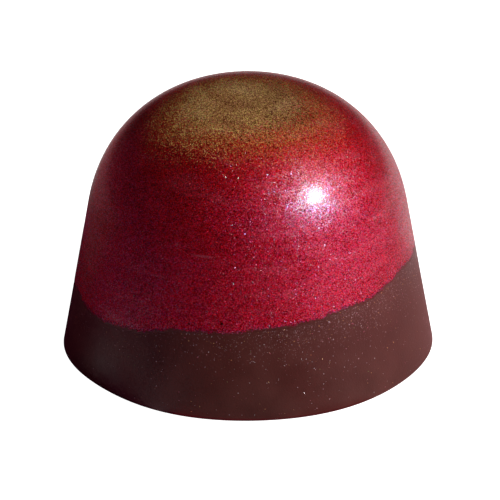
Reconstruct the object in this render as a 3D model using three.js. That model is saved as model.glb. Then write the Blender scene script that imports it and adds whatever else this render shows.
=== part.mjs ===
// A moulded chocolate bonbon: a slightly square-shouldered dome that runs out into
// a short flared skirt and is closed by a flat base. It is one solid piece, and it
// stands on its base with the dome up.
//
// Units are millimetres, with +Z up and the origin at the middle of the flat base.
// The front of the bonbon faces -Y.

import * as THREE from "three";

// Driving dimensions

const baseRadius = 15; // where the skirt's line meets the table
const height = 22.4; // from the table to the top of the dome
const domeRadius = 13.1; // across and up alike
const domeSquareness = 2.2; // 2 would be half a ball, and more has squarer shoulders
const rimRound = 0.3; // the scraped edge between skirt and base

// The skirt isn't quite round at the table. Each row is a ripple round the rim: how
// many lobes it has, how far they stand out, and where one of its crests lies, in
// degrees from the front towards the right.
const rimRipples = [
  { lobes: 4, reach: 0.06, crest: 5 },
  { lobes: 5, reach: 0.07, crest: -3 },
  { lobes: 6, reach: 0.1, crest: 31 },
];

// Fineness of the faceted solid

const sidesRound = 96;
const domeSteps = 30;
const skirtSteps = 7;
const rimSteps = 4;

// Sizes worked out from the driving ones

const domeCentreHeight = height - domeRadius;
const skirtTop = findSkirtTop();
const skirtFlare = Math.atan2(baseRadius - skirtTop.x, skirtTop.y);

// A point of the dome's outline, as (distance from the axis, height), for an angle
// from 0 at its widest to a quarter turn at its top.
function domePoint(angle) {
  const power = 2 / domeSquareness;
  return new THREE.Vector2(
    domeRadius * Math.max(0, Math.cos(angle)) ** power,
    domeCentreHeight + domeRadius * Math.sin(angle) ** power,
  );
}

// The skirt is the straight line from the edge of the base that just touches the
// dome, so the two join with no crease. The gap is positive while the base's edge
// lies outside the dome's tangent, and halving the span of angles closes it.
function findSkirtTop() {
  const tangentGap = (angle) => {
    const across = Math.cos(angle) ** (2 / domeSquareness);
    const up = Math.sin(angle) ** (2 / domeSquareness);
    const slopePower = domeSquareness - 1;
    return (
      across ** slopePower * baseRadius -
      up ** slopePower * domeCentreHeight -
      domeRadius
    );
  };
  const halvings = 40;
  let low = 0;
  let high = Math.PI / 4;
  for (let i = 0; i < halvings; i++) {
    const middle = (low + high) / 2;
    if (tangentGap(middle) > 0) low = middle;
    else high = middle;
  }
  return domePoint(low);
}

// The quarter-round edge from the base up to the skirt, touching both.
function rimArc() {
  const centreX =
    baseRadius - rimRound * (Math.tan(skirtFlare) + 1 / Math.cos(skirtFlare));
  const points = [];
  for (let i = 0; i <= rimSteps; i++) {
    const turn = THREE.MathUtils.lerp(-Math.PI / 2, skirtFlare, i / rimSteps);
    points.push(
      new THREE.Vector2(
        centreX + rimRound * Math.cos(turn),
        rimRound + rimRound * Math.sin(turn),
      ),
    );
  }
  return points;
}

// The whole outline, from the middle of the base, out round the rim, up the skirt
// and over the dome to its top on the axis.
function outline() {
  const points = [new THREE.Vector2(0, 0), ...rimArc()];

  const rimTop = points[points.length - 1];
  for (let i = 1; i <= skirtSteps; i++) {
    points.push(rimTop.clone().lerp(skirtTop, i / skirtSteps));
  }

  const startAngle = Math.asin(
    ((skirtTop.y - domeCentreHeight) / domeRadius) ** (domeSquareness / 2),
  );
  for (let i = 1; i < domeSteps; i++) {
    points.push(
      domePoint(THREE.MathUtils.lerp(startAngle, Math.PI / 2, i / domeSteps)),
    );
  }
  points.push(new THREE.Vector2(0, height));
  return points;
}

// How far the rim stands out at an angle round the axis, counted from the front.
function rimReach(angle) {
  return rimRipples.reduce(
    (sum, { lobes, reach, crest }) =>
      sum +
      reach * Math.cos(lobes * (angle - THREE.MathUtils.degToRad(crest))),
    0,
  );
}

// Moves the skirt in and out by the ripples, fully at the table and not at all
// where it meets the dome.
function rippleSkirt(geometry) {
  const place = geometry.getAttribute("position");
  for (let i = 0; i < place.count; i++) {
    const x = place.getX(i);
    const y = place.getY(i);
    const z = place.getZ(i);
    const fade = THREE.MathUtils.clamp(1 - z / skirtTop.y, 0, 1);
    const stretch = 1 + (fade * rimReach(Math.atan2(x, -y))) / baseRadius;
    place.setXYZ(i, x * stretch, y * stretch, z);
  }
  geometry.computeVertexNormals();
}

function makeBonbon() {
  const geometry = new THREE.LatheGeometry(outline(), sidesRound);
  geometry.rotateX(Math.PI / 2);
  rippleSkirt(geometry);
  const pearlCocoaButter = new THREE.MeshStandardMaterial({
    color: 0x8c1230,
    roughness: 0.25,
    metalness: 0.3,
  });
  const mesh = new THREE.Mesh(geometry, pearlCocoaButter);
  mesh.name = "bonbon";
  return mesh;
}

const model = new THREE.Group();
model.add(makeBonbon());

export default model;
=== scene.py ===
import bpy
import math
import random
from mathutils import Matrix, Quaternion, Vector


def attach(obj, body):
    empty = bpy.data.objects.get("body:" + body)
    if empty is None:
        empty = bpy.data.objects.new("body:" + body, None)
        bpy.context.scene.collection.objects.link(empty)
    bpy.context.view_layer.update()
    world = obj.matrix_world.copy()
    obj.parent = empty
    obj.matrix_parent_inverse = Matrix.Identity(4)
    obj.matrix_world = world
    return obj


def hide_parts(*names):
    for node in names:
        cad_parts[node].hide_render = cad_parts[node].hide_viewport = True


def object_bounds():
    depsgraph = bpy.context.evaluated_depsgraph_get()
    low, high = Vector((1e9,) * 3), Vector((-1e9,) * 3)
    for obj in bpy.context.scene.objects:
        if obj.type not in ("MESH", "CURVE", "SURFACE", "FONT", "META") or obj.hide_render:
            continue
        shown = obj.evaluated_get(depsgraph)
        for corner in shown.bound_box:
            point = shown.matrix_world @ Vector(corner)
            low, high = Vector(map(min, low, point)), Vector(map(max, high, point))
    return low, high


# A moulded chocolate bonbon in metres, +Z up, standing on its flat base.
# Its front faces -Y, and an angle round the axis is counted from the front to the right.

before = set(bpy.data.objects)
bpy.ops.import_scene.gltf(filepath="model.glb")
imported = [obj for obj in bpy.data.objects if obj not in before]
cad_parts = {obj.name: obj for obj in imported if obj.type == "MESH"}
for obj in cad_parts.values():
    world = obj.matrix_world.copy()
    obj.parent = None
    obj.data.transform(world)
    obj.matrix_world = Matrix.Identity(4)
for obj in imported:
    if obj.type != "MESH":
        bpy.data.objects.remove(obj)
cadLow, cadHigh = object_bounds()
mm = 0.001
hair = 0.001 * mm  # less than any step of an outline


# Small helpers

def linearColour(hexText):
    # an sRGB hex colour as the linear one that a node takes
    parts = [int(hexText[i:i + 2], 16) / 255 for i in (1, 3, 5)]
    return [
        part / 12.92 if part <= 0.04045 else ((part + 0.055) / 1.055) ** 2.4 for part in parts
    ] + [1]


def addNode(tree, kind, inputs=None, **settings):
    node = tree.nodes.new(kind)
    for name, value in settings.items():
        setattr(node, name, value)
    for socket, value in (inputs or {}).items():
        if isinstance(value, bpy.types.NodeSocket):
            tree.links.new(value, node.inputs[socket])
        else:
            node.inputs[socket].default_value = value
    return node


def startMaterial(name):
    material = bpy.data.materials.new(name)
    material.use_nodes = True
    material.node_tree.nodes.clear()
    return material, material.node_tree


def fillRamp(ramp, steps):
    # a step is its place along the ramp and its colour
    ramp.elements.remove(ramp.elements[1])
    for i, (start, colour) in enumerate(steps):
        step = ramp.elements[0] if i == 0 else ramp.elements.new(start)
        step.position = start
        step.color = colour


def placeInMm(tree):
    # the piece's own coordinates, in millimetres
    place = addNode(tree, "ShaderNodeTexCoord").outputs["Object"]
    return addNode(
        tree, "ShaderNodeVectorMath", {0: place, "Scale": 1 / mm}, operation="SCALE"
    ).outputs[0]


def deselectAll():
    if bpy.context.object and bpy.context.object.mode != "OBJECT":
        bpy.ops.object.mode_set(mode="OBJECT")
    bpy.ops.object.select_all(action="DESELECT")


def towards(azimuth, elevation):
    # a direction, in degrees round from the front and degrees up
    turn, rise = math.radians(azimuth), math.radians(elevation)
    return Vector((
        math.sin(turn) * math.cos(rise), -math.cos(turn) * math.cos(rise), math.sin(rise),
    ))


# Camera

camera = {
    "distance": 300 * mm,
    "elevation": 24.2,
    "roll": 0.31,
    "lens": 266.4,
    "sensor": 36,
    "clip": (0.01, 20),
    "aim": Vector((0.17, 0, 8.06)) * mm,
}


def placeCamera():
    data = bpy.data.cameras.new("camera")
    data.lens = camera["lens"]
    data.sensor_width = camera["sensor"]
    data.clip_start, data.clip_end = camera["clip"]
    obj = bpy.data.objects.new("camera", data)
    bpy.context.scene.collection.objects.link(obj)
    back = towards(0, camera["elevation"])
    obj.location = camera["aim"] + back * camera["distance"]
    obj.rotation_mode = "QUATERNION"
    roll = Quaternion((0, 0, 1), -math.radians(camera["roll"]))
    obj.rotation_quaternion = (-back).to_track_quat("-Z", "Y") @ roll
    bpy.context.scene.camera = obj


placeCamera()


# Outline of the bonbon, shared by the chocolate and its coat

bonbon = {
    "height": cadHigh.z,
    "baseRadius": 15 * mm,  # where the skirt's line meets the table
    "domeRadius": 13.1 * mm,  # across and up alike
    "squareness": 2.2,  # 2 would be half a ball, and more has squarer shoulders
    "rimRound": 0.3 * mm,  # the scraped edge between skirt and base
    "ripples": [(4, 0.06 * mm, 5), (5, 0.07 * mm, -3), (6, 0.1 * mm, 31)],  # lobes, reach, crest
    "around": 360,  # points in each ring
}
domeCentre = bonbon["height"] - bonbon["domeRadius"]


def domePoint(angle):
    # distance from the axis and height, for an angle from 0 at its widest to a quarter turn
    power = 2 / bonbon["squareness"]
    return (
        bonbon["domeRadius"] * max(0, math.cos(angle)) ** power,
        domeCentre + bonbon["domeRadius"] * max(0, math.sin(angle)) ** power,
    )


def skirtTopAngle():
    # the angle where the line from the base's edge just touches the dome, found by halving
    halvings = 40
    power = 2 / bonbon["squareness"]
    slope = bonbon["squareness"] - 1
    low, high = 0, math.pi / 4
    for _ in range(halvings):
        middle = (low + high) / 2
        across = math.cos(middle) ** power
        up = math.sin(middle) ** power
        gap = across ** slope * bonbon["baseRadius"] - up ** slope * domeCentre - bonbon["domeRadius"]
        if gap > 0:
            low = middle
        else:
            high = middle
    return low


skirtAngle = skirtTopAngle()
skirtTop = domePoint(skirtAngle)
skirtFlare = math.atan2(bonbon["baseRadius"] - skirtTop[0], skirtTop[1])


def rimPoints(steps):
    # the rounded edge from the base up to the skirt, touching both
    curve = bonbon["rimRound"]
    centre = bonbon["baseRadius"] - curve * (math.tan(skirtFlare) + 1 / math.cos(skirtFlare))
    points = []
    for i in range(steps + 1):
        turn = -math.pi / 2 + (skirtFlare + math.pi / 2) * i / steps
        points.append((centre + curve * math.cos(turn), curve + curve * math.sin(turn)))
    return points


rimTop = rimPoints(1)[-1]


def reachAt(height):
    # how far the bonbon's side is from its axis at a height above the rim
    if height < skirtTop[1]:
        part = (height - rimTop[1]) / (skirtTop[1] - rimTop[1])
        return rimTop[0] + (skirtTop[0] - rimTop[0]) * part
    up = min(1, (height - domeCentre) / bonbon["domeRadius"])
    return bonbon["domeRadius"] * (1 - up ** bonbon["squareness"]) ** (1 / bonbon["squareness"])


def rippled(point):
    # the skirt isn't quite round: its ripples are full at the base and gone where the dome starts
    turn = math.atan2(point[0], -point[1])
    reach = sum(
        depth * math.cos(lobes * (turn - math.radians(crest)))
        for lobes, depth, crest in bonbon["ripples"]
    )
    fade = min(1, max(0, 1 - point[2] / skirtTop[1]))
    stretch = 1 + fade * reach / bonbon["baseRadius"]
    return Vector((point[0] * stretch, point[1] * stretch, point[2]))


def onSide(turn, height):
    # the point of the bonbon's side at an angle round the axis and a height
    reach = reachAt(height)
    return rippled((reach * math.sin(turn), -reach * math.cos(turn), height))


def drawOut(name, outline):
    # a circle, drawn out edge by edge along an outline from its foot to the top of the dome
    deselectAll()
    bpy.ops.mesh.primitive_circle_add(
        vertices=bonbon["around"], radius=outline[0][0], location=(0, 0, 0)
    )
    obj = bpy.context.object
    obj.name = obj.data.name = name
    bpy.ops.object.mode_set(mode="EDIT")
    bpy.ops.mesh.select_all(action="SELECT")
    bpy.ops.transform.translate(value=(0, 0, outline[0][1]))
    for before, after in zip(outline, outline[1:]):
        rise = (0, 0, after[1] - before[1])
        bpy.ops.mesh.extrude_region_move(TRANSFORM_OT_translate={"value": rise})
        if after[0] > 0:
            grow = after[0] / before[0]
            bpy.ops.transform.resize(value=(grow, grow, 1), center_override=(0, 0, after[1]))
        else:
            bpy.ops.mesh.merge(type="CENTER")
    bpy.ops.object.mode_set(mode="OBJECT")
    return obj


def finishFaces(obj):
    # turn all its faces outwards, and shade them smooth
    deselectAll()
    obj.select_set(True)
    bpy.context.view_layer.objects.active = obj
    bpy.ops.object.mode_set(mode="EDIT")
    bpy.ops.mesh.select_all(action="SELECT")
    bpy.ops.mesh.normals_make_consistent(inside=False)
    bpy.ops.object.mode_set(mode="OBJECT")
    bpy.ops.object.shade_smooth()


# The coat: a film of coloured cocoa butter over the dome, with a slanting wavy edge

coat = {
    "proud": 0.012 * mm,
    "dip": 0.0096 * mm,  # how far its lowest ring lies under the chocolate
    "thickness": 0.1 * mm,
    "edgeHeight": 7.11 * mm,
    "edgeSlant": 0.118,  # the edge rises towards the right
    "edgeWaves": [  # waves round the bonbon, reach, crest
        (3, 0.09 * mm, -7), (5, 0.19 * mm, -12), (7, 0.15 * mm, 24), (13, 0.08 * mm, 5),
        (23, 0.035 * mm, 4), (41, 0.03 * mm, 2), (67, 0.03 * mm, 1),
    ],
    "feather": 0.15 * mm,  # how far above its lowest ring the film stands clear of the chocolate
    "margin": 0.12 * mm,  # how far the bare film reaches below the colour's edge
    "rings": 60,
}


def coatEdge(turn):
    # how high the edge is at an angle round the axis
    wave = sum(
        reach * math.cos(waves * (turn - math.radians(crest)))
        for waves, reach, crest in coat["edgeWaves"]
    )
    slant = coat["edgeSlant"] * reachAt(coat["edgeHeight"]) * math.sin(turn)
    return coat["edgeHeight"] + slant + wave


def measureFromEdge(obj):
    # how far each point lies above the coat's edge, in millimetres
    above = obj.data.attributes.new("aboveEdge", "FLOAT", "POINT")
    for vertex in obj.data.vertices:
        turn = math.atan2(vertex.co.x, -vertex.co.y)
        above.data[vertex.index].value = (vertex.co.z - coatEdge(turn)) / mm


def modelCoat():
    foot, top = coat["edgeHeight"], bonbon["height"]
    heights = [foot, foot + coat["feather"]]
    for i in range(1, coat["rings"]):
        # the rings lie closer together towards the top, where the dome levels off
        heights.append(foot + (top - foot) * math.sin(math.pi / 2 * i / coat["rings"]))
    outline = [(reachAt(height), height) for height in heights] + [(0, top)]
    obj = drawOut("pearlCocoaButterCoat", outline)
    # slide the rings along the dome, so that the lowest follows the coat's edge
    for vertex in obj.data.vertices:
        x, y, z = vertex.co
        if z < top - hair:
            turn = math.atan2(x, -y)
            edge = coatEdge(turn) - coat["margin"]
            vertex.co = onSide(turn, edge + (top - edge) * (z - foot) / (top - foot))
    finishFaces(obj)
    # the film stands a little proud of the chocolate, and dips under it at its edge
    normals = [vertex.normal.copy() for vertex in obj.data.vertices]
    for vertex, normal in zip(obj.data.vertices, normals):
        lowest = vertex.index < bonbon["around"]  # the lowest ring's points come first
        vertex.co += normal * (-coat["dip"] if lowest else coat["proud"])
    solid = obj.modifiers.new("film", "SOLIDIFY")
    solid.thickness = coat["thickness"]
    solid.offset = -1
    bpy.ops.object.modifier_apply(modifier="film")
    measureFromEdge(obj)
    return obj


# The chocolate itself, which goes on under its coat

chocolate = {
    "rimSteps": 6,
    "skirtSteps": 24,
    "domeSteps": 48,
    "baseRings": [0.93, 0.7, 0.35],  # parts of the flat base's radius
}


def modelChocolate():
    outline = rimPoints(chocolate["rimSteps"])
    for i in range(1, chocolate["skirtSteps"] + 1):
        height = rimTop[1] + (skirtTop[1] - rimTop[1]) * i / chocolate["skirtSteps"]
        outline.append((reachAt(height), height))
    for i in range(1, chocolate["domeSteps"]):
        part = i / chocolate["domeSteps"]
        outline.append(domePoint(skirtAngle + (math.pi / 2 - skirtAngle) * part))
    outline.append((0, bonbon["height"]))
    obj = drawOut("darkChocolateBody", outline)
    # the flat base, drawn in from the rim's inner edge and closed at its middle
    bpy.ops.object.mode_set(mode="EDIT")
    bpy.ops.mesh.select_mode(type="EDGE")
    bpy.ops.mesh.select_all(action="DESELECT")
    bpy.ops.mesh.select_non_manifold()
    before = 1
    for ring in chocolate["baseRings"]:
        bpy.ops.mesh.extrude_region_move()
        bpy.ops.transform.resize(value=(ring / before, ring / before, 1), center_override=(0, 0, 0))
        before = ring
    bpy.ops.mesh.extrude_region_move()
    bpy.ops.mesh.merge(type="CENTER")
    bpy.ops.object.mode_set(mode="OBJECT")
    for vertex in obj.data.vertices:
        vertex.co = rippled(vertex.co)
    finishFaces(obj)
    measureFromEdge(obj)
    return obj


# Stray mica: thin flakes that rubbed off the mould onto the bare chocolate

mica = {
    "tries": 4200,
    "seed": 11,
    "sides": 6,
    "across": (0.028 * mm, 0.095 * mm),
    "smallness": 2,  # the higher, the more of them are small
    "narrowest": 0.6,  # of its length
    "thickness": 0.012 * mm,
    "thickest": 62,  # degrees round from the front, where most of them lie
    "gathering": 1.2,  # the higher, the fewer lie far round from there
    "highest": 0.05 * mm,  # below the coat's edge
    "lowest": 0.6 * mm,  # above the base
    "spread": 1.7 * mm,  # how far below the coat's edge most of them lie
    "strays": 0.17,  # the part of them scattered over the whole skirt
    "tilt": 36,  # degrees off the surface, at most
}


def modelMica():
    deselectAll()
    # one flake a millimetre across, which each copy shrinks to its own size
    bpy.ops.mesh.primitive_cylinder_add(
        vertices=mica["sides"], radius=0.5 * mm, depth=mica["thickness"], location=(0, 0, 0)
    )
    first = bpy.context.object
    chance = random.Random(mica["seed"])
    flakes = []
    for _ in range(mica["tries"]):
        turn = chance.uniform(-math.pi, math.pi)
        nearness = 0.5 + 0.5 * math.cos(turn - math.radians(mica["thickest"]))
        if chance.random() > nearness ** mica["gathering"]:
            continue
        edge = coatEdge(turn) - mica["highest"]
        if chance.random() < mica["strays"]:
            height = chance.uniform(mica["lowest"], edge)
        else:
            height = max(mica["lowest"], edge - chance.expovariate(1 / mica["spread"]))
        spot = onSide(turn, height)
        outwards = towards(math.degrees(turn), math.degrees(skirtFlare))
        lean = math.radians(mica["tilt"]) * chance.random()
        axis = Vector([chance.uniform(-1, 1) for _ in range(3)]).normalized()
        pose = Quaternion(axis, lean) @ outwards.to_track_quat("Z", "Y")
        least, most = mica["across"]
        across = least + (most - least) * chance.random() ** mica["smallness"]
        narrow = chance.uniform(mica["narrowest"], 1)
        size = Matrix.Diagonal((across / mm, across / mm * narrow, 1, 1))
        flake = first.copy()
        flake.data = first.data.copy()
        flake.data.transform(Matrix.Translation(spot) @ pose.to_matrix().to_4x4() @ size)
        bpy.context.scene.collection.objects.link(flake)
        flakes.append(flake)
    bpy.data.objects.remove(first)
    for flake in flakes:
        flake.select_set(True)
    bpy.context.view_layer.objects.active = flakes[0]
    bpy.ops.object.join()
    obj = bpy.context.object
    obj.name = obj.data.name = "micaFlakes"
    return obj


# Materials

noiseLow, noiseHigh = 0.3, 0.7  # a noise texture seldom leaves this span

# Cocoa butter coloured deep red and full of pearl mica, sprayed into the polished mould:
# a glassy face over fine flakes, some buried in the red and some bare, which lie in small
# clumps that each gleam at their own tilt and strength. Over it went a puff of gold.
# Sizes and places are in millimetres.
pearl = {
    "flakes": [  # the part of the flakes each kind starts at, its colour and its roughness
        (0.0, "#EE0000", 0.71), (0.54, "#7A004C", 0.55), (0.78, "#5480A2", 0.37),
    ],
    "flakeSize": 0.01,  # real pearl mica is 0.01 to 0.06 across
    "clumpSize": 0.054,  # coarser than the real ones, which are too fine to show
    "clumpTilt": 1.15,  # how far the steepest lean
    "clumpFlatness": 2.8,  # the higher, the more of the clumps lie nearly flat
    "clumpLight": (0.06, 2.08),  # of the dullest and the brightest
    "clumpTints": [(1.35, 0.65), (0.7, 1.3)],  # from salmon to lilac, in green and in blue
    "pearliness": (1.8, 1.5),  # how fast pearl gains on colour in a bright clump, in red and in gold
    "goldPlainness": 0.5,  # how far the gold is spared those tints
    "gold": ("#816159", "#C0ABB2"),  # its dullest flake and its brightest
    "goldLean": (-5.0, 5.0, 1.13, 0.58),  # from and to, and its strength at the left and right
    "goldRim": (4.5, 8.0, (1.5, 0.95, 0.95)),  # from and to, and how it turns coppery there
    "goldRoughness": 0.86,
    "spotMiddle": (-0.3, -2.9, 20.5),
    "spotSquash": (1, 1.35, 0.3),  # it is shorter from front to back than across
    "spotRadius": 6.0,  # where half of the gold is left
    "spotFade": 1.0,  # half the width over which it fades
    "spotDust": 5.0,  # how far its edge breaks up
    "ring": (6.5, 12.0),  # from the spot's middle, where its tint and its painted light start to fade and are gone
    # the red round the gold is partly a real tint and partly painted light on the lit front and right
    "ringRedLight": 1.48,
    "ringBlue": 0.4,
    "ringLightShortBehind": (-4.0, 2.0, 5.0),  # along y from and to, and how far its red and painted light fall short behind
    "ringLightShortBeside": (0.0, -8.0, 2.5),  # the same along x, towards the left
    "streakSize": 1 / 1.3,
    "streakSquash": (0.2, 0.2, 0.9),  # they run longer round the bonbon than up it
    "streakLight": (0.82, 1.18),
    "scuffs": (0.57, 0.72, 0.08),  # in the palest streaks, from and to, and their strength
    "scuffColour": "#C890A4",
    "marks": [  # pits and scuffs: middle, squash, size, colour, strength
        ((-2.06, -13.48, 7.85), (1, 0.3, 1), 0.18, "#140302", 1),
        ((-4.64, -12.88, 7.58), (1, 0.3, 1), 0.15, "#140302", 0.8),
        ((-3.4, -12.2, 13.03), (0.08, 0.3, 1), 0.13, "#D8A0B4", 0.4),
        ((-7.0, -11.1, 10.85), (0.1, 0.1, 1), 0.11, "#D8A0B4", 0.32),
        ((3.25, -12.85, 10.1), (0.8, 0.5, 1), 0.5, "#D8A0B4", 0.14),
    ],
    "markCore": 0.4,  # the part of a mark's size that is at full strength
    "edgeRagged": 0.3,  # how far it wanders up and down
    "edgeGrain": 1 / 3.5,  # and over what length
    "edgeFade": (0.08, 0.2),  # above the edge, where the coat starts and where it is whole
    "edgeBand": (0.12, 0.48),  # where its darker band starts to fade and is gone
    "edgeTint": (0.52, 0.6, 0.85),  # what the band leaves of red, green and blue
    "underneath": "#4F261E",
    "bareRoughness": 0.42,
    "glaze": 0.54,
}


def pearlFlakes(tree, pick):
    # colour and roughness of each flake, by its kind
    hue = addNode(tree, "ShaderNodeValToRGB", {0: pick})
    face = addNode(tree, "ShaderNodeValToRGB", {0: pick})
    hue.color_ramp.interpolation = face.color_ramp.interpolation = "CONSTANT"
    flakes = pearl["flakes"]
    fillRamp(hue.color_ramp, [(start, linearColour(hexText)) for start, hexText, _ in flakes])
    fillRamp(face.color_ramp, [(start, [rough] * 3 + [1]) for start, _, rough in flakes])
    return hue.outputs[0], face.outputs[0]


def pearlTilt(tree, clumps, pick):
    # each clump's own tilt: most lie nearly flat and a few stand steeply
    steepness = addNode(
        tree, "ShaderNodeMath", {0: pick, 1: pearl["clumpFlatness"]}, operation="POWER"
    ).outputs[0]
    tilt = addNode(
        tree, "ShaderNodeMath", {0: steepness, 1: pearl["clumpTilt"]}, operation="MULTIPLY"
    ).outputs[0]
    centred = addNode(
        tree, "ShaderNodeVectorMath", {0: clumps, 1: (0.5, 0.5, 0.5)}, operation="SUBTRACT"
    ).outputs[0]
    lean = addNode(
        tree, "ShaderNodeVectorMath", {0: centred, "Scale": tilt}, operation="SCALE"
    ).outputs[0]
    normal = addNode(tree, "ShaderNodeNewGeometry").outputs["Normal"]
    leaning = addNode(tree, "ShaderNodeVectorMath", {0: normal, 1: lean}, operation="ADD").outputs[0]
    return addNode(tree, "ShaderNodeVectorMath", {0: leaning}, operation="NORMALIZE").outputs[0]


def goldSpot(tree, inMm, flakePick, dustPick):
    # how far each point is from the spot's middle, how much gold lies there, and its colour
    fromSpot = addNode(
        tree, "ShaderNodeVectorMath", {0: inMm, 1: pearl["spotMiddle"]}, operation="SUBTRACT"
    ).outputs[0]
    flat = addNode(
        tree, "ShaderNodeVectorMath", {0: fromSpot, 1: pearl["spotSquash"]}, operation="MULTIPLY"
    ).outputs[0]
    away = addNode(tree, "ShaderNodeVectorMath", {0: flat}, operation="LENGTH").outputs["Value"]
    # its edge is broken up into dust, as a spray's is
    dusty = addNode(
        tree, "ShaderNodeMath", {0: dustPick, 1: pearl["spotDust"], 2: away}, operation="MULTIPLY_ADD"
    ).outputs[0]
    halfway = pearl["spotRadius"] + pearl["spotDust"] / 2
    goldness = addNode(
        tree, "ShaderNodeMapRange",
        {0: dusty, 1: halfway + pearl["spotFade"], 2: halfway - pearl["spotFade"]},
        interpolation_type="SMOOTHSTEP",
    ).outputs[0]
    dull, bright = [linearColour(hexText) for hexText in pearl["gold"]]
    gold = addNode(
        tree, "ShaderNodeMix", {0: flakePick, 6: dull, 7: bright}, data_type="RGBA"
    ).outputs[2]
    # the gold is lighter at the left and darker at the right
    left, right, atLeft, atRight = pearl["goldLean"]
    across = addNode(tree, "ShaderNodeSeparateXYZ", {0: inMm}).outputs[0]
    thickness = addNode(
        tree, "ShaderNodeMapRange", {0: across, 1: left, 2: right, 3: atLeft, 4: atRight}
    ).outputs[0]
    gold = addNode(
        tree, "ShaderNodeVectorMath", {0: gold, "Scale": thickness}, operation="SCALE"
    ).outputs[0]
    near, far, copper = pearl["goldRim"]
    thin = addNode(tree, "ShaderNodeMapRange", {0: away, 1: near, 2: far}).outputs[0]
    coppery = addNode(
        tree, "ShaderNodeMix", {0: thin, 6: (1, 1, 1, 1), 7: (*copper, 1)}, data_type="RGBA"
    ).outputs[2]
    gold = addNode(tree, "ShaderNodeVectorMath", {0: gold, 1: coppery}, operation="MULTIPLY").outputs[0]
    return away, goldness, gold


def ringTintAndLight(tree, inMm, away):
    # round the gold the pearl is less blue and redder; the red is partly painted light, lighter in front
    # and to the right where the key lamp falls, and cut short behind and to the left
    near, far = pearl["ring"]
    blue = addNode(
        tree, "ShaderNodeMapRange", {0: away, 1: near, 2: far, 3: pearl["ringBlue"], 4: 1.0}
    ).outputs[0]
    across, along, _ = addNode(tree, "ShaderNodeSeparateXYZ", {0: inMm}).outputs
    redLightAway = away
    for way, limits in ((along, pearl["ringLightShortBehind"]), (across, pearl["ringLightShortBeside"])):
        start, end, most = limits
        short = addNode(tree, "ShaderNodeMapRange", {0: way, 1: start, 2: end, 4: most}).outputs[0]
        redLightAway = addNode(tree, "ShaderNodeMath", {0: redLightAway, 1: short}, operation="ADD").outputs[0]
    red = addNode(
        tree, "ShaderNodeMapRange", {0: redLightAway, 1: near, 2: far, 3: pearl["ringRedLight"], 4: 1.0}
    ).outputs[0]
    return red, blue


def clumpLights(tree, inMm, picks, streaks, goldness, away):
    # how strongly each clump gleams in red, green and blue
    dullest, brightest = pearl["clumpLight"]
    own = addNode(tree, "ShaderNodeMapRange", {0: picks[0], 3: dullest, 4: brightest}).outputs[0]
    darker, lighter = pearl["streakLight"]
    cloudy = addNode(
        tree, "ShaderNodeMapRange", {0: streaks, 1: noiseLow, 2: noiseHigh, 3: darker, 4: lighter}
    ).outputs[0]
    light = addNode(tree, "ShaderNodeMath", {0: own, 1: cloudy}, operation="MULTIPLY").outputs[0]
    # the brighter a clump, the more its pearl outshines the red, though gold stays gold
    inRed, inGold = pearl["pearliness"]
    power = addNode(tree, "ShaderNodeMapRange", {0: goldness, 3: inRed, 4: inGold}).outputs[0]
    pearly = addNode(tree, "ShaderNodeMath", {0: light, 1: power}, operation="POWER").outputs[0]
    plain = addNode(
        tree, "ShaderNodeMath", {0: goldness, 1: pearl["goldPlainness"]}, operation="MULTIPLY"
    ).outputs[0]
    tinted = []
    for salmon, lilac in pearl["clumpTints"]:
        tint = addNode(tree, "ShaderNodeMapRange", {0: picks[2], 3: salmon, 4: lilac}).outputs[0]
        tint = addNode(tree, "ShaderNodeMix", {0: plain, 2: tint, 3: 1.0}).outputs[0]
        tinted.append(
            addNode(tree, "ShaderNodeMath", {0: pearly, 1: tint}, operation="MULTIPLY").outputs[0]
        )
    green, blue = tinted
    # the red carries the painted light round the gold
    redAndPaintedLight, blueShare = ringTintAndLight(tree, inMm, away)
    red = addNode(tree, "ShaderNodeMath", {0: light, 1: redAndPaintedLight}, operation="MULTIPLY").outputs[0]
    blue = addNode(tree, "ShaderNodeMath", {0: blue, 1: blueShare}, operation="MULTIPLY").outputs[0]
    return addNode(tree, "ShaderNodeCombineXYZ", {0: red, 1: green, 2: blue}).outputs[0]


def raggedAbove(tree, inMm):
    # the height above the coat's edge, made ragged
    above = addNode(tree, "ShaderNodeAttribute", attribute_name="aboveEdge").outputs["Fac"]
    grain = addNode(
        tree, "ShaderNodeTexNoise",
        {"Vector": inMm, "Scale": 1 / pearl["edgeGrain"], "Detail": 3.0, "Roughness": 0.6},
    ).outputs["Fac"]
    half = pearl["edgeRagged"] / 2
    ragged = addNode(
        tree, "ShaderNodeMapRange", {0: grain, 1: noiseLow, 2: noiseHigh, 3: -half, 4: half}
    ).outputs[0]
    return addNode(tree, "ShaderNodeMath", {0: above, 1: ragged}, operation="ADD").outputs[0]


def scuffed(tree, inMm, streaks, colour):
    # pale scuffs in the palest streaks, and the pits and marks left by the mould
    start, full, strength = pearl["scuffs"]
    scuff = addNode(tree, "ShaderNodeMapRange", {0: streaks, 1: start, 2: full, 4: strength}).outputs[0]
    colour = addNode(
        tree, "ShaderNodeMix", {0: scuff, 6: colour, 7: linearColour(pearl["scuffColour"])},
        data_type="RGBA",
    ).outputs[2]
    for middle, squash, size, hexText, strength in pearl["marks"]:
        offset = addNode(
            tree, "ShaderNodeVectorMath", {0: inMm, 1: middle}, operation="SUBTRACT"
        ).outputs[0]
        squashed = addNode(
            tree, "ShaderNodeVectorMath", {0: offset, 1: squash}, operation="MULTIPLY"
        ).outputs[0]
        distance = addNode(
            tree, "ShaderNodeVectorMath", {0: squashed}, operation="LENGTH"
        ).outputs["Value"]
        mark = addNode(
            tree, "ShaderNodeMapRange",
            {0: distance, 1: size, 2: pearl["markCore"] * size, 4: strength},
        ).outputs[0]
        colour = addNode(
            tree, "ShaderNodeMix", {0: mark, 6: colour, 7: linearColour(hexText)}, data_type="RGBA"
        ).outputs[2]
    return colour


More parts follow.
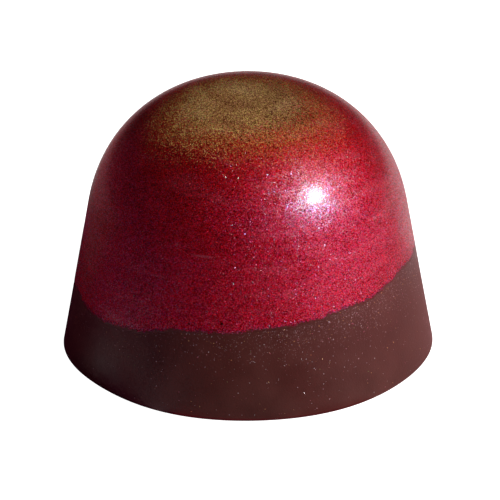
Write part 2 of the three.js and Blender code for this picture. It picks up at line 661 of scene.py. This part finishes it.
def pearlCocoaButter():
    material, tree = startMaterial("moulded pearl cocoa butter")
    inMm = placeInMm(tree)
    clumps = addNode(
        tree, "ShaderNodeTexVoronoi", {"Vector": inMm, "Scale": 1 / pearl["clumpSize"]},
        voronoi_dimensions="3D",
    ).outputs["Color"]
    clumpPick = addNode(
        tree, "ShaderNodeTexWhiteNoise", {"Vector": clumps}, noise_dimensions="3D"
    ).outputs["Color"]
    picks = addNode(tree, "ShaderNodeSeparateColor", {0: clumpPick}).outputs
    flakeCells = addNode(
        tree, "ShaderNodeTexVoronoi", {"Vector": inMm, "Scale": 1 / pearl["flakeSize"]},
        voronoi_dimensions="3D",
    ).outputs["Color"]
    flakePick = addNode(
        tree, "ShaderNodeTexWhiteNoise", {"Vector": flakeCells}, noise_dimensions="3D"
    ).outputs["Value"]
    # the coat is cloudy, in streaks
    smear = addNode(
        tree, "ShaderNodeVectorMath", {0: inMm, 1: pearl["streakSquash"]}, operation="MULTIPLY"
    ).outputs[0]
    streaks = addNode(
        tree, "ShaderNodeTexNoise",
        {"Vector": smear, "Scale": 1 / pearl["streakSize"], "Detail": 4.0, "Distortion": 0.5},
    ).outputs["Fac"]
    flakeColour, flakeRoughness = pearlFlakes(tree, flakePick)
    away, goldness, gold = goldSpot(tree, inMm, flakePick, picks[2])
    spotted = addNode(
        tree, "ShaderNodeMix", {0: goldness, 6: flakeColour, 7: gold}, data_type="RGBA"
    ).outputs[2]
    lights = clumpLights(tree, inMm, picks, streaks, goldness, away)
    lit = addNode(tree, "ShaderNodeVectorMath", {0: spotted, 1: lights}, operation="MULTIPLY").outputs[0]
    # near its edge the coat is thinner, so darker and more purple
    above = raggedAbove(tree, inMm)
    band = addNode(
        tree, "ShaderNodeMapRange", {0: above, 1: pearl["edgeBand"][0], 2: pearl["edgeBand"][1]},
        interpolation_type="SMOOTHSTEP",
    ).outputs[0]
    tint = addNode(
        tree, "ShaderNodeMix", {0: band, 6: (*pearl["edgeTint"], 1), 7: (1, 1, 1, 1)},
        data_type="RGBA",
    ).outputs[2]
    banded = addNode(tree, "ShaderNodeVectorMath", {0: lit, 1: tint}, operation="MULTIPLY").outputs[0]
    worn = scuffed(tree, inMm, streaks, banded)
    # below the ragged line there is only the chocolate
    cover = addNode(
        tree, "ShaderNodeMapRange", {0: above, 1: pearl["edgeFade"][0], 2: pearl["edgeFade"][1]}
    ).outputs[0]
    colour = addNode(
        tree, "ShaderNodeMix", {0: cover, 6: linearColour(pearl["underneath"]), 7: worn},
        data_type="RGBA",
    ).outputs[2]
    coatRoughness = addNode(
        tree, "ShaderNodeMapRange", {0: goldness, 3: flakeRoughness, 4: pearl["goldRoughness"]}
    ).outputs[0]
    roughness = addNode(
        tree, "ShaderNodeMapRange", {0: cover, 3: pearl["bareRoughness"], 4: coatRoughness}
    ).outputs[0]
    glaze = addNode(
        tree, "ShaderNodeMath", {0: cover, 1: pearl["glaze"]}, operation="MULTIPLY"
    ).outputs[0]
    shader = addNode(
        tree, "ShaderNodeBsdfPrincipled",
        {
            "Base Color": colour,
            "Metallic": cover,
            "Roughness": roughness,
            "Normal": pearlTilt(tree, clumps, picks[1]),
            "Coat Weight": glaze,
            "Coat Roughness": 0.23,
            "Coat IOR": 1.42,
        },
    )
    addNode(tree, "ShaderNodeOutputMaterial", {"Surface": shader.outputs[0]})
    return material


# Dark chocolate set against the polished mould: a close satin face, with the finest mica
# dusted over it below the coat's edge. Sizes and places are in millimetres.
temper = {
    "dark": "#532C25",
    "darker": "#46231C",
    "cloudSize": 3.0,
    "clouds": (0.35, 0.65),  # the noise's values where a cloud starts and where it is full
    "roughness": (0.37, 0.45),
    "dust": "#A08C8C",
    "dustSize": 0.055,  # coarser than the real dust, which is too fine to show
    "dustVeil": 0.35,  # how far one speck hides the chocolate
    "dustShare": (0.0, 0.12),  # of the surface, far from the coat's edge and at it
    "dustReach": 3.2,  # below the coat's edge
    "dustGlintAcross": (-3.0, 9.0, 0.15),  # from and to, and what is left of it at the left; the extra specks towards the right are painted glint where the key lamp falls
    "grainSize": 1 / 6,  # the moulded face's faint unevenness
    "grainDepth": 0.1,
    "grainStrength": 0.15,
}


def temperedDarkChocolate():
    material, tree = startMaterial("moulded dark chocolate")
    inMm = placeInMm(tree)
    cloud = addNode(
        tree, "ShaderNodeTexNoise", {"Vector": inMm, "Scale": 1 / temper["cloudSize"], "Detail": 4.0}
    ).outputs["Fac"]
    clouded = addNode(
        tree, "ShaderNodeMapRange", {0: cloud, 1: temper["clouds"][0], 2: temper["clouds"][1]}
    ).outputs[0]
    colour = addNode(
        tree, "ShaderNodeMix",
        {0: clouded, 6: linearColour(temper["darker"]), 7: linearColour(temper["dark"])},
        data_type="RGBA",
    ).outputs[2]
    # mica dust, thickest at the coat's edge, and thicker towards the right as painted glint where the
    # key lamp falls
    specks = addNode(
        tree, "ShaderNodeTexVoronoi", {"Vector": inMm, "Scale": 1 / temper["dustSize"]},
        voronoi_dimensions="3D",
    ).outputs["Color"]
    pick = addNode(
        tree, "ShaderNodeTexWhiteNoise", {"Vector": specks}, noise_dimensions="3D"
    ).outputs["Value"]
    above = addNode(tree, "ShaderNodeAttribute", attribute_name="aboveEdge").outputs["Fac"]
    least, most = temper["dustShare"]
    share = addNode(
        tree, "ShaderNodeMapRange", {0: above, 1: -temper["dustReach"], 2: 0.0, 3: least, 4: most}
    ).outputs[0]
    # more specks towards the right: painted glint on the side the key lamp lights
    left, right, atLeft = temper["dustGlintAcross"]
    across = addNode(tree, "ShaderNodeSeparateXYZ", {0: inMm}).outputs[0]
    glintsRightwards = addNode(
        tree, "ShaderNodeMapRange", {0: across, 1: left, 2: right, 3: atLeft}
    ).outputs[0]
    share = addNode(tree, "ShaderNodeMath", {0: share, 1: glintsRightwards}, operation="MULTIPLY").outputs[0]
    dusty = addNode(tree, "ShaderNodeMath", {0: pick, 1: share}, operation="LESS_THAN").outputs[0]
    thinly = addNode(
        tree, "ShaderNodeMath", {0: dusty, 1: temper["dustVeil"]}, operation="MULTIPLY"
    ).outputs[0]
    dusted = addNode(
        tree, "ShaderNodeMix", {0: thinly, 6: colour, 7: linearColour(temper["dust"])},
        data_type="RGBA",
    ).outputs[2]
    smooth, rough = temper["roughness"]
    roughness = addNode(tree, "ShaderNodeMapRange", {0: clouded, 3: smooth, 4: rough}).outputs[0]
    grain = addNode(
        tree, "ShaderNodeTexNoise", {"Vector": inMm, "Scale": 1 / temper["grainSize"], "Detail": 4.0}
    ).outputs["Fac"]
    bump = addNode(
        tree, "ShaderNodeBump",
        {"Height": grain, "Strength": temper["grainStrength"], "Distance": temper["grainDepth"] * mm},
    )
    shader = addNode(
        tree, "ShaderNodeBsdfPrincipled",
        {
            "Base Color": dusted,
            "Roughness": roughness,
            "Normal": bump.outputs[0],
            "Specular IOR Level": 0.55,
        },
    )
    addNode(tree, "ShaderNodeOutputMaterial", {"Surface": shader.outputs[0]})
    return material


# Flakes of mica coated thinly with metal oxides: mostly silver, some gold, a few coloured.
looseFlakes = {
    "tints": [  # the part of the flakes each tint starts at
        (0.0, "#C8C0C4"), (0.45, "#A49CA4"), (0.7, "#D8B078"), (0.86, "#C87890"), (0.96, "#90B070"),
    ],
    "metallic": 0.4,
    "roughness": 0.38,
}


def looseMica():
    material, tree = startMaterial("loose pearl mica")
    pick = addNode(tree, "ShaderNodeNewGeometry").outputs["Random Per Island"]
    hue = addNode(tree, "ShaderNodeValToRGB", {0: pick})
    hue.color_ramp.interpolation = "CONSTANT"
    tints = [(start, linearColour(hexText)) for start, hexText in looseFlakes["tints"]]
    fillRamp(hue.color_ramp, tints)
    shader = addNode(
        tree, "ShaderNodeBsdfPrincipled",
        {
            "Base Color": hue.outputs[0],
            "Metallic": looseFlakes["metallic"],
            "Roughness": looseFlakes["roughness"],
        },
    )
    addNode(tree, "ShaderNodeOutputMaterial", {"Surface": shader.outputs[0]})
    return material


# Put the bonbon together

body = modelChocolate()
body.data.materials.append(temperedDarkChocolate())
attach(body, "root")
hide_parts("bonbon")
print("chocolate body modelled:", len(body.data.polygons), "faces")

film = modelCoat()
film.data.materials.append(pearlCocoaButter())
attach(film, "root")
print("coat modelled:", len(film.data.polygons), "faces")

dusting = modelMica()
dusting.data.materials.append(looseMica())
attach(dusting, "root")
print("loose mica modelled:", len(dusting.data.polygons), "faces")


# Floor, lamps and surroundings

# The white paper is what the camera sees. The boards and small cards lie just below it and
# are what the bonbon sees: they light it from below and show in its gloss. The boards are
# turned clockwise about the bonbon, by so many degrees, and the cards lie over them unturned.
paper = {"colour": "#F4F4F4", "glow": 1.3, "across": (-4, 4), "along": (-4, 4), "height": 0, "turn": 0}
boards = {"glow": 0.12, "height": -0.02 * mm, "turn": 24}
cards = {"glow": 0.12, "height": -0.01 * mm, "turn": 0}
floors = {
    "pinkBoard": boards | {"colour": "#E05068", "across": (0, 0.6), "along": (-0.1, 0)},
    "blushBoard": boards | {
        "colour": "#FF88A8", "across": (0, 0.6), "along": (0, 0.6), "glow": 0.2,
    },
    "mauveBoard": boards | {"colour": "#802C56", "across": (-0.6, 0), "along": (-0.6, 0.6)},
    "paleCard": cards | {
        "colour": "#EACED0", "across": (-0.03, -0.017), "along": (-0.018, -0.004),
    },
    "duskyCard": cards | {
        "colour": "#DCB4C0", "across": (-0.0169, -0.007), "along": (-0.024, -0.013),
    },
    "umberCard": cards | {
        "colour": "#AA7F8B", "across": (-0.0069, 0.006), "along": (-0.029, -0.0156),
    },
    "blushCard": cards | {
        "colour": "#FFB2B6", "across": (0.01, 0.045), "along": (-0.022, 0.02),
    },
    "rosyCard": cards | {
        "colour": "#FF7084", "across": (0.046, 0.095), "along": (-0.085, 0.01), "glow": 1.4,
    },
    "backCard": cards | {
        "colour": "#FFE8E4", "across": (-0.03, 0.6), "along": (0.03, 2), "glow": 0.6,
        "fades": [(0.03, 0.03), (0.06, 1), (0.12, 1), (0.38, 0.6), (2, 0.5)],  # y, and its share there
    },
    "rightBackCard": cards | {
        "colour": "#F0D8D8", "across": (0.012, 0.052), "along": (0.02, 0.06), "glow": 0.55,
        "height": -0.005 * mm,
    },
    "leftBackCard": cards | {
        "colour": "#D88286", "across": (-0.3, -0.0301), "along": (0.012, 0.4), "glow": 0.7,
        "fades": [
            (0.012, 0.2), (0.03, 0.2), (0.05, 0.5), (0.1, 0.75), (0.15, 0.95), (0.2, 0.7), (0.4, 0.4),
        ],
    },
}

# radiance is how bright a lamp's face looks, 1 being plain white, and wide and high are the
# degrees that it spans when seen from the bonbon
lamps = {
    "key": {
        "azimuth": 61, "elevation": 34, "distance": 0.5, "wide": 4.5, "high": 4.5,
        "radiance": 570, "colour": "#FFFFFF", "round": True,
    },
    "leftCard": {
        "azimuth": -104, "elevation": 12, "distance": 0.5, "wide": 76, "high": 32,
        "radiance": 0.19, "colour": "#FF3878", "round": False,
    },
}
roomLight = 0.006


def mattCard(name, floor):
    # matt and glowing, in one colour or in one that fades along y
    material, tree = startMaterial(name)
    colour = linearColour(floor["colour"])
    if "fades" in floor:
        place = addNode(tree, "ShaderNodeTexCoord").outputs["Object"]
        along = addNode(tree, "ShaderNodeSeparateXYZ", {0: place}).outputs[1]
        longest = floor["fades"][-1][0]
        part = addNode(tree, "ShaderNodeMapRange", {0: along, 2: longest}).outputs[0]
        fades = [
            (reach / longest, [share * value for value in colour[:3]] + [1])
            for reach, share in floor["fades"]
        ]
        ramp = addNode(tree, "ShaderNodeValToRGB", {0: part})
        fillRamp(ramp.color_ramp, fades)
        colour = ramp.outputs[0]
    shader = addNode(
        tree, "ShaderNodeBsdfPrincipled",
        {
            "Base Color": colour,
            "Roughness": 0.9,
            "Specular IOR Level": 0.1,
            "Emission Color": colour,
            "Emission Strength": floor["glow"],
        },
    )
    addNode(tree, "ShaderNodeOutputMaterial", {"Surface": shader.outputs[0]})
    return material


def addFloor(name, floor):
    deselectAll()
    bpy.ops.mesh.primitive_plane_add(size=1, location=(0, 0, 0))
    obj = bpy.context.object
    obj.name = obj.data.name = name
    sides = floor["across"], floor["along"]
    bpy.ops.object.mode_set(mode="EDIT")
    bpy.ops.mesh.select_all(action="SELECT")
    size = [high - low for low, high in sides]
    bpy.ops.transform.resize(value=(*size, 1), center_override=(0, 0, 0))
    middle = [(high + low) / 2 for low, high in sides]
    bpy.ops.transform.translate(value=(*middle, floor["height"]))
    turn = math.radians(floor["turn"])
    bpy.ops.transform.rotate(value=turn, orient_axis="Z", center_override=(0, 0, 0))
    bpy.ops.object.mode_set(mode="OBJECT")
    obj.data.materials.append(mattCard(name, floor))
    return obj


def addLamp(name, lamp):
    data = bpy.data.lights.new(name, "AREA")
    data.shape = "DISK" if lamp["round"] else "RECTANGLE"
    data.size = 2 * lamp["distance"] * math.tan(math.radians(lamp["wide"] / 2))
    data.size_y = 2 * lamp["distance"] * math.tan(math.radians(lamp["high"] / 2))
    area = data.size * data.size_y * (math.pi / 4 if lamp["round"] else 1)
    data.energy = lamp["radiance"] * math.pi * area
    data.color = linearColour(lamp["colour"])[:3]
    obj = bpy.data.objects.new(name, data)
    bpy.context.scene.collection.objects.link(obj)
    middle = Vector((0, 0, bonbon["height"] / 2))
    outwards = towards(lamp["azimuth"], lamp["elevation"])
    obj.location = middle + outwards * lamp["distance"]
    obj.rotation_mode = "QUATERNION"
    obj.rotation_quaternion = (-outwards).to_track_quat("-Z", "Y")
    obj.visible_camera = False


def addWorld():
    # plain white behind everything, while the bonbon itself stands in a dark room
    world = bpy.data.worlds.new("studio")
    bpy.context.scene.world = world
    world.use_nodes = True
    tree = world.node_tree
    tree.nodes.clear()
    seen = addNode(tree, "ShaderNodeLightPath").outputs["Is Camera Ray"]
    strength = addNode(tree, "ShaderNodeMapRange", {0: seen, 3: roomLight, 4: 1.0}).outputs[0]
    light = addNode(tree, "ShaderNodeBackground", {"Color": (1, 1, 1, 1), "Strength": strength})
    addNode(tree, "ShaderNodeOutputWorld", {"Surface": light.outputs[0]})


sheet = addFloor("paper", paper)
sheet.visible_glossy = sheet.visible_diffuse = sheet.visible_shadow = False
for name, floor in floors.items():
    addFloor(name, floor).visible_camera = False
for name, lamp in lamps.items():
    addLamp(name, lamp)
addWorld()
bpy.context.scene.view_settings.view_transform = "Standard"
print("studio lit")
